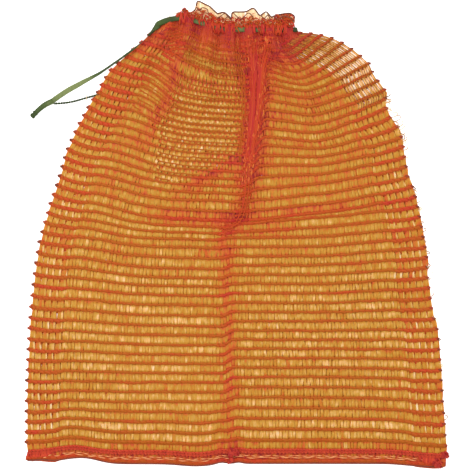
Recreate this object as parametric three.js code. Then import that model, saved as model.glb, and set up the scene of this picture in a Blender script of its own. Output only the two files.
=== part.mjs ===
// Empty knitted mesh sack lying flat, its mouth drawn shut by a green string.
// X runs across the sack, Y from the sewn hem to the mouth, Z up from the surface it lies on.
import * as THREE from "three";

// Driving dimensions, in millimetres
const HEM_WIDTH = 400;
const BODY_LENGTH = 415; // from the hem's edge to the drawstring
const FRILL_LENGTH = 23; // net standing past the drawstring
const NECK_LEFT = 73; // reach of the drawn mouth to the left of the middle
const NECK_RIGHT = 62; // and to the right of it
const ROW_PITCH = 9.28; // between two knitted chains
const GAP = 0.3; // clearance between touching pieces

// Outline: how the two sides draw in from the hem to the neck
const LEFT_POWER = 3;
const LEFT_ROUND = 0.75;
const RIGHT_POWER = 1.85;
const RIGHT_ROUND = 0.4;
const OUTLINE_STEPS = 40;

// Rows of the net: they bow down in the middle, where the pleat runs
const ROW_BOW = 2.2; // power of the curve from the pleat to the sack's edge
const PLEAT_SHIFT = 26; // the pleat's place at the neck, right of the middle
const PLEAT_POWER = 1.6; // how it drifts back to the middle lower down
const STRING_HUMP = { x: -50, height: 11, width: 22, from: 0.9 };
const HEM_WAVE = { x: -148, height: 3.6, width: 27, tilt: 1.6, from: 0.05, until: 0.16 };

// Thickness of the flattened net and its folds
const EDGE_THICKNESS = 3;
const BODY_THICKNESS = 5.2;
const EDGE_ROUND = 11; // width of the rounded border
const NECK_THICKNESS = 9.5;
const NECK_FROM = 0.84; // share of the length where the bunching starts
const GATHERS = 7;
const GATHER_HEIGHT = 4.6;
const GATHER_FROM = 0.66;
const PLEAT_HEIGHT = 3.6;
const PLEAT_WIDTH = 8;
const PLEAT_FROM = 0.34;
const CREASE = { y: 229, depth: 1.3, width: 5 };
const SWELL = { height: 0.7, across: 43, along: 57 };
const FRILL_DROP = 3.5; // how much thinner the frill's edge is than the neck

// Frill past the drawstring
const FRILL_LEFT = 56;
const FRILL_RIGHT = 60;
const FRILL_LOW = 0.52; // height of the frill between its peaks, as a share
const FRILL_START = 0.22; // share of the mouth over which it rises at the left
const FRILL_SLUMP = { share: 0.66, from: 0.3, until: 0.55 }; // it is lower on the right

// Grid that carries the upper face
const COLUMNS = 50;
const BODY_ROWS = 36;
const FRILL_ROWS = 3;
const EDGE_STEP = 0.2; // slope of a groove's wall

// Drawstring and sewing thread
const STRING_SIZE = 3.4; // the tape crumpled to a cord inside the mouth
const STRING_SIDES = 8;
const STRING_FRONT = 9.2; // height of its front run
const STRING_RUN = 24; // steps along each side of the mouth
const STRING_TURN = 4; // steps round each end of it
const STRING_STEPS = 60;
const STRING_ENDS = 0.35; // angle left open at the left, where both ends come out
const WAIST_HALF = 2.6; // half width of the waist that the string draws in
const LOOP_INSET = 5; // how far the string's loop lies inside the neck
const WAIST_INSET = 7.2; // and the waist that it holds, clear of its bends
const TAPE = { width: 4, thickness: 1.4, steps: 40 };
const RETURN = { size: 2.2, steps: 12 };
const KNOT = { length: 23, width: 6, height: 4, sides: 12 };
const SEAM = { width: 4.6, thickness: 2.6, y: ROW_PITCH + 2, sunk: 0.5, steps: 60 };

const { lerp, smoothstep, clamp } = THREE.MathUtils;
const MOUTH_Y = BODY_LENGTH - WAIST_HALF; // the body ends where the waist starts
const CENTRE_Y = (BODY_LENGTH + FRILL_LENGTH) / 2; // brings the origin under the middle of the sack
const bell = (distance, width) => Math.exp(-((distance / width) ** 2));

// Side edges, each a curve that can be walked by its own length
function sideCurve(neck, drawIn) {
  const points = [];
  for (let k = 0; k <= OUTLINE_STEPS; k++) {
    const t = 1 - (1 - k / OUTLINE_STEPS) ** 2;
    points.push(new THREE.Vector2(neck + (HEM_WIDTH / 2 - neck) * drawIn(t), MOUTH_Y * t));
  }
  return new THREE.SplineCurve(points);
}
const leftEdge = sideCurve(NECK_LEFT, (t) => (1 - t ** LEFT_POWER) ** LEFT_ROUND);
const rightEdge = sideCurve(NECK_RIGHT, (t) => (1 - t ** RIGHT_POWER) ** RIGHT_ROUND);

const pleatX = (s) => PLEAT_SHIFT * s ** PLEAT_POWER;
const stringHump = (x) => STRING_HUMP.height * bell(x - STRING_HUMP.x, STRING_HUMP.width);
const stringY = (x) => BODY_LENGTH + stringHump(x);
const hemWave = (x, s) =>
  (HEM_WAVE.height * bell(x - HEM_WAVE.x, HEM_WAVE.width) - (HEM_WAVE.tilt * x) / (HEM_WIDTH / 2)) *
  (1 - smoothstep(s, HEM_WAVE.from, HEM_WAVE.until));
const gather = (u) => 0.5 - 0.5 * Math.cos(2 * Math.PI * GATHERS * u);

// Plan place of the net at u across (0 left, 1 right) and s along (0 hem, 1 drawstring)
function bodyPlan(u, s) {
  const left = leftEdge.getPointAt(s);
  const right = rightEdge.getPointAt(s);
  const x = lerp(-left.x, right.x, u);
  const middle = pleatX(s);
  const end = x < middle ? new THREE.Vector2(-left.x, left.y) : right;
  const reach = (x - middle) / (end.x - middle);
  const rowY = MOUTH_Y * s;
  const y =
    lerp(rowY, end.y, reach ** ROW_BOW) +
    stringHump(x) * smoothstep(s, STRING_HUMP.from, 1) +
    hemWave(x, s);
  return { x, y, toSide: Math.min(u, 1 - u) * (left.x + right.x) };
}

// Height of the upper face over the body of the sack
function bodyHeight(u, s, plan) {
  const bunch = smoothstep(s, NECK_FROM, 1);
  const inset = Math.min(plan.toSide, MOUTH_Y * s);
  const rounded = 1 - (1 - clamp(inset / EDGE_ROUND, 0, 1)) ** 2;
  const flat = lerp(BODY_THICKNESS, NECK_THICKNESS - GATHER_HEIGHT / 2, bunch);
  const folds = GATHER_HEIGHT * gather(u) * smoothstep(s, GATHER_FROM, 1);
  const pleat = PLEAT_HEIGHT * bell(plan.x - pleatX(s), PLEAT_WIDTH) * smoothstep(s, PLEAT_FROM, NECK_FROM);
  const crease = CREASE.depth * bell(plan.y - CREASE.y, CREASE.width);
  const swell = SWELL.height * Math.sin(plan.x / SWELL.across) * Math.sin(plan.y / SWELL.along);
  return lerp(EDGE_THICKNESS, flat + folds + pleat * (1 - bunch) - crease + swell, rounded);
}

const bodyPoint = (u, s) => {
  const plan = bodyPlan(u, s);
  return new THREE.Vector3(plan.x, plan.y, bodyHeight(u, s, plan));
};

// Groove under the seam: the net's face, pressed down along the hem
const seamShare = (offset) => (SEAM.y + offset) / MOUTH_Y;
function seamRow(offset, pressed) {
  const depth = pressed ? SEAM.thickness / 2 + SEAM.sunk + GAP : 0;
  return (u) => bodyPoint(u, seamShare(offset)).sub(new THREE.Vector3(0, 0, depth));
}

// Waist inside the string's loop: a flat core between its front and back runs
function waistPoint(u, offset, height) {
  const x = lerp(WAIST_INSET - NECK_LEFT, NECK_RIGHT - WAIST_INSET, u);
  return new THREE.Vector3(x, stringY(x) + offset, height);
}

// Frill, q running from the string (0) to its ragged edge (1)
function frillPoint(u, q) {
  const start = bodyPoint(u, 1).add(new THREE.Vector3(0, 2 * WAIST_HALF, 0));
  const slump = lerp(1, FRILL_SLUMP.share, smoothstep(u, FRILL_SLUMP.from, FRILL_SLUMP.until));
  const rise = FRILL_LENGTH * slump * lerp(FRILL_LOW, 1, gather(u)) * smoothstep(u, 0, FRILL_START);
  const endX = lerp(-FRILL_LEFT, FRILL_RIGHT, u);
  const endY = Math.max(BODY_LENGTH + rise, stringY(endX) + 2 * WAIST_HALF);
  const z = Math.max(start.z - FRILL_DROP * q, EDGE_THICKNESS);
  return new THREE.Vector3(lerp(start.x, endX, q), lerp(start.y, endY, q), z);
}

// Rows of the net's upper face from the hem to the frill, each with the height of its underside
function netRows() {
  const half = SEAM.width / 2 + GAP;
  const inner = WAIST_HALF - EDGE_STEP;
  const overString = STRING_FRONT - STRING_SIZE / 2 - GAP;
  const underString = STRING_SIZE + 2 * GAP;
  const rows = [
    { top: (u) => bodyPoint(u, 0), under: 0 },
    { top: seamRow(-half - EDGE_STEP, false), under: 0 },
    { top: seamRow(-half, true), under: 0 },
    { top: seamRow(half, true), under: 0 },
    { top: seamRow(half + EDGE_STEP, false), under: 0 },
  ];
  const from = seamShare(half + ROW_PITCH / 2);
  for (let j = 0; j <= BODY_ROWS; j++) {
    rows.push({ top: (u) => bodyPoint(u, lerp(from, 1, j / BODY_ROWS)), under: 0 });
  }
  rows.push({ top: (u) => waistPoint(u, -inner, overString), under: underString });
  rows.push({ top: (u) => waistPoint(u, inner, overString), under: underString });
  for (let j = 0; j <= FRILL_ROWS; j++) {
    rows.push({ top: (u) => frillPoint(u, j / FRILL_ROWS), under: 0 });
  }
  return rows;
}

// The net as one solid: the rows joined over and under, with a rim all round
function netGeometry() {
  const points = [];
  const faces = [];
  const wide = COLUMNS + 1;
  const quad = (a, b, c, d) => faces.push(a, b, c, a, c, d);
  const rows = netRows();
  for (const { top, under } of rows) {
    const upper = Array.from({ length: wide }, (_, i) => top(i / COLUMNS));
    points.push(...upper, ...upper.map((p) => p.clone().setZ(under)));
  }
  rows.slice(1).forEach((_, j) => {
    const low = 2 * wide * j;
    const high = low + 2 * wide;
    for (let i = 0; i < COLUMNS; i++) {
      quad(low + i, low + i + 1, high + i + 1, high + i);
      quad(high + wide + i, high + wide + i + 1, low + wide + i + 1, low + wide + i);
    }
    quad(low + wide, low, high, high + wide);
    quad(low + COLUMNS, low + wide + COLUMNS, high + wide + COLUMNS, high + COLUMNS);
  });
  const last = 2 * wide * (rows.length - 1);
  for (let i = 0; i < COLUMNS; i++) {
    quad(wide + i, wide + i + 1, i + 1, i);
    quad(last + i, last + i + 1, last + wide + i + 1, last + wide + i);
  }
  const geometry = new THREE.BufferGeometry().setFromPoints(points);
  geometry.setIndex(faces);
  return geometry;
}

// Oval section of a cord or tape, across by through
function ovalSection(across, through) {
  const corners = [];
  for (let k = 0; k < STRING_SIDES; k++) {
    const angle = (2 * Math.PI * (k + 0.5)) / STRING_SIDES;
    corners.push(new THREE.Vector2((through / 2) * Math.cos(angle), (across / 2) * Math.sin(angle)));
  }
  return new THREE.Shape(corners);
}

function sweep(curve, across, through, steps) {
  const options = { extrudePath: curve, steps, bevelEnabled: false };
  return new THREE.ExtrudeGeometry(ovalSection(across, through), options);
}

// Drawstring in the mouth: from the left over the front gathers and back underneath
function mouthCurve() {
  const low = STRING_SIZE / 2 + GAP;
  const bend = (STRING_FRONT - low) / 2;
  const left = LOOP_INSET - NECK_LEFT - STRING_SIZE / 2 - GAP + bend;
  const right = NECK_RIGHT - LOOP_INSET + STRING_SIZE / 2 + GAP - bend;
  const points = [];
  const add = (x, z) => points.push(new THREE.Vector3(x, stringY(x), z));
  const run = (from, to, z) => {
    for (let k = 1; k < STRING_RUN; k++) add(lerp(from, to, k / STRING_RUN), z);
  };
  const turn = (x, from, to) => {
    for (let k = 0; k <= STRING_TURN; k++) {
      const angle = lerp(from, to, k / STRING_TURN);
      add(x + bend * Math.cos(angle), low + bend + bend * Math.sin(angle));
    }
  };
  turn(left, Math.PI - STRING_ENDS, Math.PI / 2);
  run(left, right, STRING_FRONT);
  turn(right, Math.PI / 2, -Math.PI / 2);
  run(right, left, low);
  turn(left, -Math.PI / 2, STRING_ENDS - Math.PI);
  return new THREE.CatmullRomCurve3(points);
}

// Free tail of the drawstring over the left shoulder, then out over the surface
const TAIL_ROUTE = [
  [-72.6, 419.4, 5],
  [-76.6, 415.6, 5.4],
  [-81.3, 410.6, 5.9],
  [-87.6, 404, 6.2],
  [-95, 397, 6.2],
  [-102, 391.2, 5.8],
  [-109.5, 385.2, 5.2],
  [-116.5, 379.9, 4.6],
  [-122.8, 375.4, 3],
  [-129.2, 371.3, 1.6],
  [-135.6, 368, 1],
  [-143.5, 364.3, 1],
  [-151.5, 360.6, 1],
  [-159.5, 356.8, 1],
  [-166.5, 353, 1],
  [-172.4, 348.9, 1],
  [-175.8, 346.2, 1],
];
// Second strand, from under the sack's edge back to the tied end
const RETURN_ROUTE = [
  [-135.8, 351.9, 1.2],
  [-141, 350.5, 1.2],
  [-148.3, 348.4, 1.2],
  [-155, 346.6, 1.2],
  [-161.5, 345.2, 1.2],
  [-168, 343.9, 1.2],
  [-173, 342.9, 1.2],
];
const KNOT_START = new THREE.Vector3(-176, 344.8, KNOT.height / 2 + 0.1);
const KNOT_END = new THREE.Vector3(-194, 332, KNOT.height / 2 + 0.1);

const routeCurve = (route) => new THREE.CatmullRomCurve3(route.map((p) => new THREE.Vector3(...p)));

// Tied end of the string: a tapered club that ends bluntly
function knotGeometry() {
  const profile = [
    [0, 0],
    [0.55, 0],
    [0.8, 0.2],
    [0.9, 0.55],
    [1, 0.8],
    [0.85, 0.95],
    [0.5, 1],
    [0, 1],
  ].map(([r, y]) => new THREE.Vector2((r * KNOT.width) / 2, y * KNOT.length));
  return new THREE.LatheGeometry(profile, KNOT.sides).scale(1, 1, KNOT.height / KNOT.width);
}

// Overlock seam along the hem, pressed into the net
function seamCurve() {
  const points = [];
  const inset = SEAM.width / HEM_WIDTH;
  for (let k = 0; k <= SEAM.steps; k++) {
    const plan = bodyPlan(lerp(inset, 1 - inset, k / SEAM.steps), seamShare(0));
    points.push(new THREE.Vector3(plan.x, plan.y, BODY_THICKNESS - SEAM.sunk));
  }
  return new THREE.CatmullRomCurve3(points);
}

// Materials and the assembled part
const sackPart = new THREE.Group();
sackPart.position.set(0, -CENTRE_Y, 0);

function addPiece(name, geometry, color, roughness) {
  const material = new THREE.MeshStandardMaterial({ color, roughness, metalness: 0 });
  const piece = new THREE.Mesh(geometry, material);
  piece.name = name;
  sackPart.add(piece);
  return piece;
}

addPiece("net_sack", netGeometry(), 0xd4691f, 0.5);
addPiece("hem_seam", sweep(seamCurve(), SEAM.width, SEAM.thickness, SEAM.steps), 0xc23a1c, 0.55);
addPiece("drawstring_mouth", sweep(mouthCurve(), STRING_SIZE, STRING_SIZE, STRING_STEPS), 0x2f6b3a, 0.5);
const tail = routeCurve(TAIL_ROUTE);
addPiece("drawstring_tail", sweep(tail, TAPE.width, TAPE.thickness, TAPE.steps), 0x7f9a5a, 0.5);
const strand = routeCurve(RETURN_ROUTE);
addPiece("drawstring_return", sweep(strand, RETURN.size, RETURN.size, RETURN.steps), 0x5c6b4a, 0.5);
const knot = addPiece("drawstring_knot", knotGeometry(), 0x3f5f2c, 0.5);
knot.position.copy(KNOT_START);
knot.quaternion.setFromUnitVectors(
  new THREE.Vector3(0, 1, 0),
  KNOT_END.clone().sub(KNOT_START).normalize(),
);

export default sackPart;
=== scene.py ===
import math

import bpy
import numpy as np
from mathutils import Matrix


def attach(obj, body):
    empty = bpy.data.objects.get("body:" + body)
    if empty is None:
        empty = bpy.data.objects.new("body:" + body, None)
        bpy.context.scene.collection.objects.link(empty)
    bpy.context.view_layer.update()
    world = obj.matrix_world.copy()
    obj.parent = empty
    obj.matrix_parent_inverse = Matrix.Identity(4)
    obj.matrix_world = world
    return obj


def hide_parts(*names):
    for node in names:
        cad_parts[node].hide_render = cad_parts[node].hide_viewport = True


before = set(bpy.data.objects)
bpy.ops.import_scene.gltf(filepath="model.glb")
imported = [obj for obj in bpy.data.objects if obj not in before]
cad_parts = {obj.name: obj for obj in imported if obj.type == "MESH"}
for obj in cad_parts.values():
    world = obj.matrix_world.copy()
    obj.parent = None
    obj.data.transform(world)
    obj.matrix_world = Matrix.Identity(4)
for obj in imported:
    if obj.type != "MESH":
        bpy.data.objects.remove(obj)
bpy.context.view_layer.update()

# The surface that the empty sack lies on, the light over it and the camera.
# A plain pale light table under a broad soft lamp, seen from straight above through a long lens.
MM = 0.001
VIEW_WIDTH = 449.8
LENS = 135.0
SENSOR = 36.0
CAMERA_REACH = 50.0
TABLE_SIDE = 6000.0
TABLE_COLOUR = (247, 247, 246)
TABLE_ROUGHNESS = 0.8
TABLE_GLOSS = 0.1
TABLE_GLOW = 0.6
ROOM_STRENGTH = 1.0
LAMP_SIDE = 1500.0
LAMP_PLACE = (-450.0, 500.0, 1500.0)
LAMP_WATTS = 16.0


def linear(colour):
    """A colour given as it is seen, from 0 to 255, as the light that a surface gives back."""
    shares = np.array(colour, float) / 255
    low = shares / 12.92
    high = ((shares + 0.055) / 1.055) ** 2.4
    return tuple(np.where(shares <= 0.04045, low, high)) + (1.0,)


def new_material(name):
    """An empty node material, with its node tree and its output node."""
    material = bpy.data.materials.new(name)
    material.use_nodes = True
    tree = material.node_tree
    tree.nodes.clear()
    return material, tree, tree.nodes.new("ShaderNodeOutputMaterial")


def add_node(tree, kind, inputs):
    """A node whose inputs are fed by the outputs of other nodes or set to values."""
    node = tree.nodes.new("ShaderNode" + kind)
    for key, value in inputs.items():
        if isinstance(value, bpy.types.NodeSocket):
            tree.links.new(value, node.inputs[key])
        else:
            node.inputs[key].default_value = value
    return node


def add_object(name, data):
    """A new object in the scene."""
    made = bpy.data.objects.new(name, data)
    scene.collection.objects.link(made)
    return made


scene = bpy.context.scene
scene.view_settings.view_transform = "Standard"

camera_data = bpy.data.cameras.new("overhead_camera")
camera_data.lens = LENS
camera_data.sensor_width = SENSOR
camera_data.clip_end = CAMERA_REACH
camera = add_object("overhead_camera", camera_data)
camera.location = (0.0, 0.0, VIEW_WIDTH * LENS / SENSOR * MM)
scene.camera = camera

soft_room = bpy.data.worlds.new("soft_room")
soft_room.use_nodes = True
soft_room.node_tree.nodes["Background"].inputs["Color"].default_value = (1.0, 1.0, 1.0, 1.0)
soft_room.node_tree.nodes["Background"].inputs["Strength"].default_value = ROOM_STRENGTH
scene.world = soft_room

lamp_data = bpy.data.lights.new("soft_lamp", "AREA")
lamp_data.shape = "SQUARE"
lamp_data.size = LAMP_SIDE * MM
lamp_data.energy = LAMP_WATTS
lamp = add_object("soft_lamp", lamp_data)
lamp.location = [v * MM for v in LAMP_PLACE]
lamp.rotation_mode = "QUATERNION"
lamp.rotation_quaternion = lamp.location.to_track_quat("Z", "Y")

table_side = TABLE_SIDE / 2 * MM
table_corners = [(-table_side, -table_side, 0), (table_side, -table_side, 0)]
table_corners += [(table_side, table_side, 0), (-table_side, table_side, 0)]
table_mesh = bpy.data.meshes.new("table")
table_mesh.from_pydata(table_corners, [], [(0, 1, 2, 3)])
table = add_object("table", table_mesh)
table_finish, tree, output = new_material("table_finish")
shader = add_node(tree, "BsdfPrincipled", {
    "Base Color": linear(TABLE_COLOUR), "Roughness": TABLE_ROUGHNESS, "Specular IOR Level": TABLE_GLOSS,
    "Emission Color": linear(TABLE_COLOUR), "Emission Strength": TABLE_GLOW,
})
tree.links.new(shader.outputs["BSDF"], output.inputs["Surface"])
table_mesh.materials.append(table_finish)

# The free tail of the drawstring: a flat green plastic tape, cut off short, that comes out of the left
# end of the mouth, lies over the sack's shoulder and then on the table. It is twisted narrow at the mouth.
HEM_Y = -219.0
TAIL_ROUTE = [
    (-72.6, 419.4, 5.0), (-76.6, 415.6, 5.4), (-81.3, 410.6, 5.9), (-87.6, 404.0, 6.2),
    (-95.0, 397.8, 6.2), (-102.0, 392.4, 5.8), (-109.5, 387.0, 5.2), (-116.5, 382.2, 4.6),
    (-122.8, 378.0, 3.0), (-129.2, 374.0, 1.6), (-135.6, 370.5, 1.0), (-143.5, 366.3, 1.0),
    (-151.5, 361.9, 1.0), (-159.5, 357.5, 1.0), (-166.5, 353.0, 1.0), (-172.4, 348.9, 1.0),
    (-175.8, 346.2, 1.0),
]
TAIL_WIDTH = 4.4
TAIL_THICK = 0.5
TAIL_TWIST = math.radians(35)
TAIL_ON_EDGE = math.radians(45)
STRING_GREENS = [(44, 56, 28), (74, 92, 44), (134, 144, 88)]
MAP_MARGIN = (0.03, 0.06)
STREAK_DETAIL = 4.0
STREAK_STRETCH = (4.0, 0.8, 1.0)
GRAIN_FINER = 8
GRAIN_DETAIL = 2.0
GRAIN_STRENGTH = 0.35
GRAIN_DEPTH = 0.0003
SHEEN_SPREAD = 0.12


def in_frame(points):
    """Points in millimetres from the middle of the hem, as places in the frame in metres."""
    return (np.asarray(points, float) + (0.0, HEM_Y, 0.0)) * MM


def curve_through(points, steps):
    """A smooth line through the points, with this many samples from each to the next."""
    p = np.array(points, float)
    p = np.vstack([2 * p[0] - p[1], p, 2 * p[-1] - p[-2]])
    t = np.linspace(0, 1, steps, endpoint=False)[:, None]
    spans = []
    for a, b, c, d in zip(p, p[1:], p[2:], p[3:]):
        square = (2 * a - 5 * b + 4 * c - d) * t**2
        cube = (3 * b - a - 3 * c + d) * t**3
        spans.append(0.5 * (2 * b + (c - a) * t + square + cube))
    return np.vstack(spans + [p[-2:-1]])


def run_of(path):
    """How far along the path each of its points lies."""
    steps = np.linalg.norm(np.diff(path, axis=0), axis=1)
    return np.concatenate([[0.0], np.cumsum(steps)])


class Bundle:
    """Strands of one kind, collected and then joined into one piece."""

    def __init__(self):
        self.corners, self.faces, self.tones, self.places = [], [], [], []
        self.count, self.strands = 0, 0
        self.length, self.girth = 0.0, 0.0

    def lay(self, paths, wide, thick, sides=6, roll=0.0, tone=0.5, up=(0.0, 0.0, 1.0)):
        """Adds strands of an oval section, closed at both ends. paths is strands by points by three."""
        paths = np.asarray(paths, float)
        if paths.ndim == 2:
            paths = paths[None]
        strands, points = paths.shape[:2]
        shape = (strands, points)
        wide, thick, roll, tone = (np.broadcast_to(v, shape)[..., None] for v in (wide, thick, roll, tone))
        along = np.gradient(paths, axis=1)
        along = along / np.linalg.norm(along, axis=2, keepdims=True)
        across = np.cross(up, along)
        across = across / np.maximum(np.linalg.norm(across, axis=2, keepdims=True), 1e-9)
        rise = np.cross(along, across)
        turned = across * np.cos(roll) + rise * np.sin(roll)
        rise = rise * np.cos(roll) - across * np.sin(roll)
        across = turned
        turn = 2 * math.pi * (np.arange(sides) + 0.5) / sides
        rings = paths[:, :, None] + (wide * across)[:, :, None] * np.cos(turn)[:, None]
        rings = rings + (thick * rise)[:, :, None] * np.sin(turn)[:, None]
        first = self.count + np.arange(strands)[:, None, None] * points * sides
        i = np.arange(points - 1)[None, :, None]
        j = np.arange(sides)[None, None, :]
        near = first + i * sides
        far = near + sides
        following = (j + 1) % sides
        quads = np.stack([near + j, near + following, far + following, far + j], -1).reshape(-1, 4)
        numbers = self.strands + np.arange(strands)[:, None, None]
        strand = np.broadcast_to(numbers, near.shape[:2] + (sides,))
        back = np.broadcast_to(i / (points - 1), strand.shape)
        front = np.broadcast_to((i + 1) / (points - 1), strand.shape)
        left = np.broadcast_to(j / sides, strand.shape)
        right = left + 1 / sides
        corners_on_map = [(back, left), (back, right), (front, right), (front, left)]
        on_map = np.stack([np.stack([strand, a, b], -1) for a, b in corners_on_map], 3)
        ends = first[:, 0, :] + np.arange(sides)[None, :]
        last = ends + (points - 1) * sides
        self.faces += quads.tolist() + ends[:, ::-1].tolist() + last.tolist()
        self.places.append(on_map.reshape(-1, 3))
        for share in (0.0, 1.0):
            around = np.arange(sides)[None, :] / sides
            end_map = np.stack(np.broadcast_arrays(numbers[:, 0], share, around), -1)
            self.places.append(end_map.reshape(-1, 3))
        self.corners.append(rings.reshape(-1, 3))
        self.tones.append(np.broadcast_to(tone, shape + (sides,)).reshape(-1))
        self.count += strands * points * sides
        self.strands += strands
        self.length += np.linalg.norm(np.diff(paths, axis=1), axis=2).sum()
        self.girth += 4 * float(wide.mean()) * strands

    def piece(self, name, material, smooth=True):
        """The strands as one object on the sack, with their tones and a map laid out strand by strand."""
        mesh = bpy.data.meshes.new(name)
        mesh.from_pydata(in_frame(np.vstack(self.corners)).tolist(), [], self.faces)
        mesh.polygons.foreach_set("use_smooth", np.full(len(self.faces), smooth))
        tones = mesh.attributes.new("tone", "FLOAT", "POINT")
        tones.data.foreach_set("value", np.concatenate(self.tones).astype(np.float32))
        columns = max(1, round(math.sqrt(self.strands * self.girth / self.length)))
        lines = math.ceil(self.strands / columns)
        strand, along, around = np.vstack(self.places).T
        end_gap, side_gap = MAP_MARGIN
        across_map = (strand % columns + end_gap + (1 - 2 * end_gap) * along) / columns
        up_map = (strand // columns + side_gap + (1 - 2 * side_gap) * around) / lines
        bake_map = mesh.uv_layers.new(name="OFBake")
        bake_map.data.foreach_set("uv", np.stack([across_map, up_map], -1).astype(np.float32).ravel())
        mesh.materials.append(material)
        made = add_object(name, mesh)
        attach(made, "root")
        return made


def film(name, colours, roughness, through, streak, depth=0.5, gloss=0.2):
    """Drawn plastic film, coloured by the strand's tone with fine streaks, that lets light through."""
    material, tree, output = new_material(name)
    place = add_node(tree, "TexCoord", {}).outputs["Object"]
    drawn_out = add_node(tree, "Mapping", {"Vector": place, "Scale": STREAK_STRETCH})
    blotch = add_node(tree, "TexNoise", {
        "Vector": drawn_out.outputs["Vector"], "Scale": streak, "Detail": STREAK_DETAIL,
    })
    swing = add_node(tree, "Math", {0: blotch.outputs["Fac"], 1: depth, 2: -depth / 2})
    swing.operation = "MULTIPLY_ADD"
    tone = add_node(tree, "Attribute", {})
    tone.attribute_name = "tone"
    total = add_node(tree, "Math", {0: tone.outputs["Fac"], 1: swing.outputs["Value"]})
    total.operation = "ADD"
    total.use_clamp = True
    ramp = add_node(tree, "ValToRGB", {"Fac": total.outputs["Value"]})
    ramp.color_ramp.elements.remove(ramp.color_ramp.elements[1])
    for n, colour in enumerate(colours):
        stop = n / (len(colours) - 1)
        element = ramp.color_ramp.elements.new(stop) if n else ramp.color_ramp.elements[0]
        element.position = stop
        element.color = linear(colour)
    grain = add_node(tree, "TexNoise", {
        "Vector": place, "Scale": streak * GRAIN_FINER, "Detail": GRAIN_DETAIL,
    }).outputs["Fac"]
    bump = add_node(tree, "Bump", {"Height": grain, "Strength": GRAIN_STRENGTH, "Distance": GRAIN_DEPTH})
    sheen = add_node(tree, "MapRange", {
        "Value": grain, "To Min": roughness - SHEEN_SPREAD, "To Max": roughness + SHEEN_SPREAD,
    })
    skin = add_node(tree, "BsdfPrincipled", {
        "Base Color": ramp.outputs["Color"], "Roughness": sheen.outputs["Result"],
        "Normal": bump.outputs["Normal"], "Specular IOR Level": gloss,
    })
    glow = add_node(tree, "BsdfTranslucent", {"Color": ramp.outputs["Color"]})
    both = add_node(tree, "MixShader", {
        "Fac": through, 1: skin.outputs["BSDF"], 2: glow.outputs["BSDF"],
    })
    tree.links.new(both.outputs["Shader"], output.inputs["Surface"])
    return material


def swell(v, start, end):
    """0 up to start, 1 from end on, and a smooth rise between them."""
    t = np.clip((v - start) / (end - start), 0, 1)
    return t * t * (3 - 2 * t)


def bell(distance, width):
    """1 at no distance, falling off on both sides within about twice the width."""
    return np.exp(-((distance / width) ** 2))


green_tape = film("green_tape", STRING_GREENS, roughness=0.42, through=0.2, streak=90.0)
tail_path = curve_through(TAIL_ROUTE, 5)
tail_run = run_of(tail_path)
tail_share = tail_run / tail_run[-1]
tail_open = swell(tail_share, 0.48, 0.84)
tail_flat = np.maximum(tail_open, 1 - swell(tail_share, 0.01, 0.09))
tail_half = TAIL_WIDTH / 2 * (0.5 + 0.7 * tail_flat)
tail_edgewise = swell(tail_share, 0.02, 0.08) * (1 - swell(tail_share, 0.16, 0.28))
tail_roll = TAIL_TWIST * swell(tail_share, 0.01, 0.1) * (1 - swell(tail_share, 0.1, 0.55))
tail_roll = tail_roll + TAIL_ON_EDGE * tail_edgewise
tail_tone = 0.2 + 0.7 * swell(tail_share, 0.5, 0.75) * (1 - 0.25 * swell(tail_share, 0.88, 1.0))
tail_tone = tail_tone + 0.2 * bell(tail_share, 0.07)
tail_strands = Bundle()
tail_strands.lay(tail_path, tail_half, TAIL_THICK / 2, sides=10, roll=tail_roll, tone=tail_tone)
tail = tail_strands.piece("drawstring_tail_tape", green_tape)
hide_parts("drawstring_tail")

# The thin second strand of the drawstring: the other end of the string, twisted to a cord, that comes
# from under the sack's left edge and meets the tail at the knot.
RETURN_ROUTE = [
    (-127.0, 354.4, 1.3), (-131.4, 353.2, 1.2), (-135.8, 351.9, 1.2), (-141.0, 350.5, 1.2),
    (-148.3, 348.4, 1.2), (-155.0, 346.6, 1.2), (-161.5, 345.5, 1.2), (-168.0, 344.9, 1.2),
    (-173.0, 344.6, 1.2),
]
RETURN_WIDTH = 2.2
PLY_WIDE = RETURN_WIDTH / 3.2
PLY_THICK = RETURN_WIDTH / 4
TWIST_PITCH = 5.0

return_path = curve_through(RETURN_ROUTE, 6)
return_run = run_of(return_path)
return_strands = Bundle()
for half_turn in (0, math.pi):
    angle = 2 * math.pi * return_run / TWIST_PITCH + half_turn
    side = np.stack([np.zeros_like(angle), np.cos(angle), np.sin(angle)], -1)
    ply = return_path + side * RETURN_WIDTH / 4
    return_strands.lay(ply, PLY_WIDE, PLY_THICK, roll=angle, tone=0.2)
return_cord = return_strands.piece("drawstring_return_strand", green_tape)
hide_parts("drawstring_return")

# The knot: both ends of the string laid together, folded back on themselves and tied off with a turn of
# the same tape, so that the end is a short thick club.
KNOT_START = np.array((-174.5, 347.0, 2.1))
KNOT_END = np.array((-194.5, 331.6, 2.1))
KNOT_LAYS = (
    {"offset": 1.3, "height": 0.1, "half": 1.6, "tone": 0.7},
    {"offset": -1.2, "height": -0.2, "half": 1.5, "tone": 0.5},
    {"offset": 0.1, "height": 0.75, "half": 1.8, "tone": 0.62},
)
KNOT_THICK = 0.55
KNOT_WRAPS = (0.8, 0.92)
WRAP_HALF = 2.45
WRAP_RISE = 1.5
KNOT_BOW = 2.2

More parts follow.
